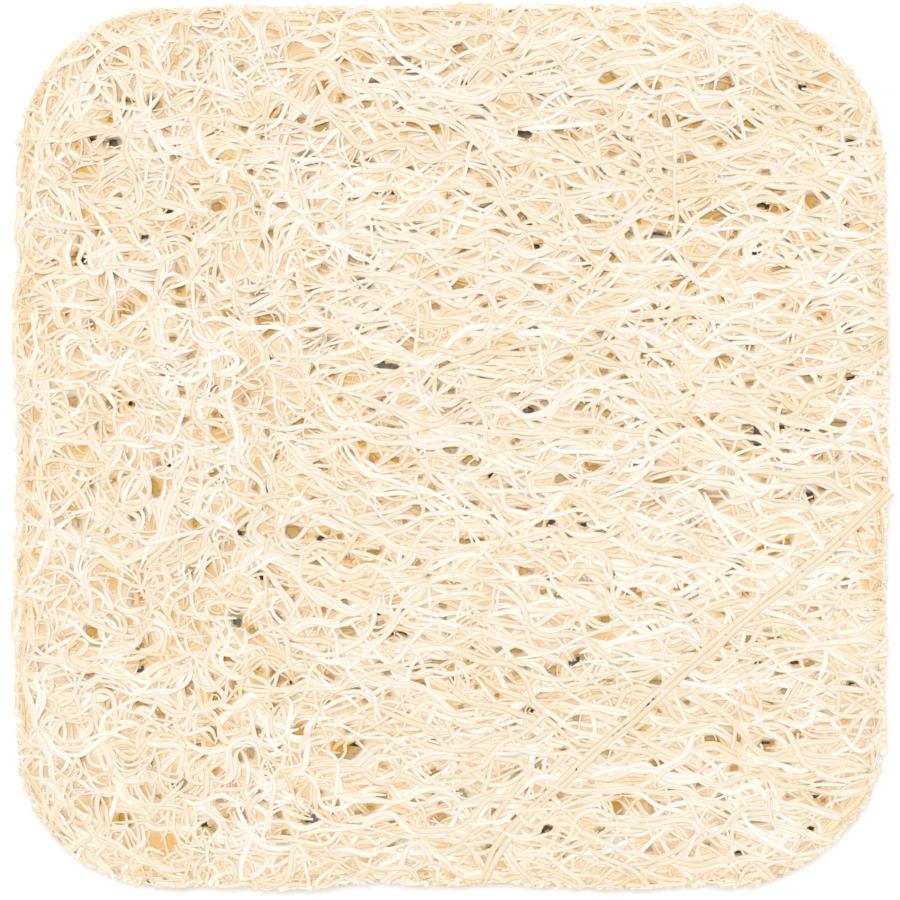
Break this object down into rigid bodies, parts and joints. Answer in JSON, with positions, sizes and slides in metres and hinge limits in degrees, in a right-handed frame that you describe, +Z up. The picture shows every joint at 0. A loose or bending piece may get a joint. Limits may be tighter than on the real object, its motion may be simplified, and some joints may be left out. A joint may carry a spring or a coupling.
{
  "type": "natural loofah sponge",
  "caption": "Flat square scrubbing pad with rounded corners, pressed from the open fibre net of a dried loofah gourd.",
  "frame": {"origin": "middle of the underside", "axes": "+Z up out of the top face, +Y towards the top edge in the picture, +X to the right along the main run of the fibres"},
  "size_m": [0.08, 0.081, 0.008],
  "materials": {
    "loofah_fibre": "dry, matt plant fibre, cream with tan in the deeper gaps"
  },
  "bodies": {
    "root": {"loofah_sponge": "loofah_fibre"}
  },
  "joints": []
}
